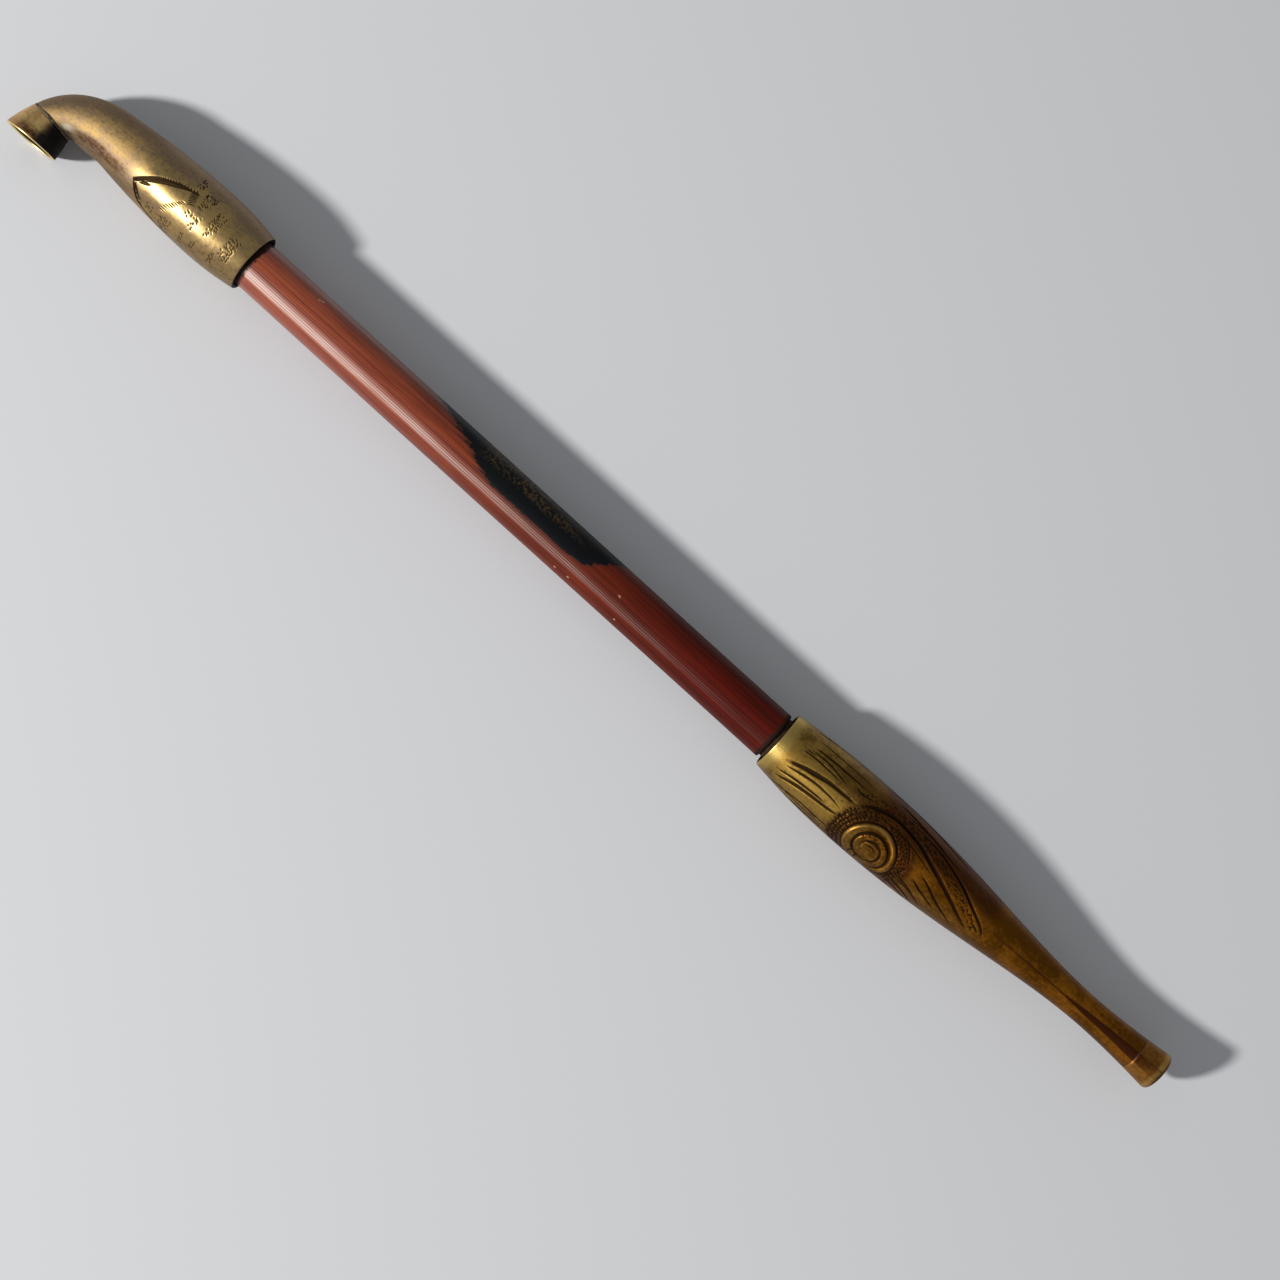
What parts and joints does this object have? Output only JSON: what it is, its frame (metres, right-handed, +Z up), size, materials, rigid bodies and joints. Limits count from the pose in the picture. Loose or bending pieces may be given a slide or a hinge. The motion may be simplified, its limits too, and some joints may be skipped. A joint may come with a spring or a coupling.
{
  "type": "long-stemmed tobacco pipe",
  "caption": "Long slim smoking pipe: brass head with a small turned-up cup, straight bamboo tube and tapering brass mouthpiece with a flared lip; both metal ends push onto the tube.",
  "frame": {"origin": "centre of the bounding box's base, on the table that the pipe lies on", "axes": "+X along the stem from the head towards the mouthpiece, +Z up from the table, the cup opens towards -Y"},
  "size_m": [0.2576, 0.0178, 0.0134],
  "materials": {
    "bamboo_stem": "dyed bamboo, satin, fine grain along it, with a dark burnt patch",
    "head_wrap": "brown-stained paper",
    "mouthpiece_wrap": "brown-stained paper",
    "head": "aged satin brass with engraved lines",
    "fire_cup": "aged brass, burnt inside",
    "cup_solder": "dark solder",
    "mouthpiece": "aged brass with chased relief and dark grooves",
    "lip_collar": "smooth aged brass",
    "collar_solder": "dark solder"
  },
  "bodies": {
    "stem": {"bamboo_stem": "bamboo_stem"},
    "head_seal": {"head_wrap": "head_wrap"},
    "head": {"head": "head", "fire_cup": "fire_cup", "cup_solder": "cup_solder"},
    "mouthpiece_seal": {"mouthpiece_wrap": "mouthpiece_wrap"},
    "mouthpiece": {"mouthpiece": "mouthpiece", "lip_collar": "lip_collar", "collar_solder": "collar_solder"}
  },
  "joints": [
    {"name": "head_twist", "type": "hinge", "parent": "stem", "child": "head_seal", "pos_m": [-0.08099, 0.00213, 0.00672], "axis": [1, 0, 0], "continuous": true},
    {"name": "head_pull", "type": "slide", "parent": "head_seal", "child": "head", "axis": [-1, 0, 0], "range_m": [0, 0.0245]},
    {"name": "mouthpiece_twist", "type": "hinge", "parent": "stem", "child": "mouthpiece_seal", "pos_m": [-0.08099, 0.00213, 0.00672], "axis": [1, 0, 0], "continuous": true},
    {"name": "mouthpiece_pull", "type": "slide", "parent": "mouthpiece_seal", "child": "mouthpiece", "axis": [1, 0, 0], "range_m": [0, 0.0245]}
  ]
}
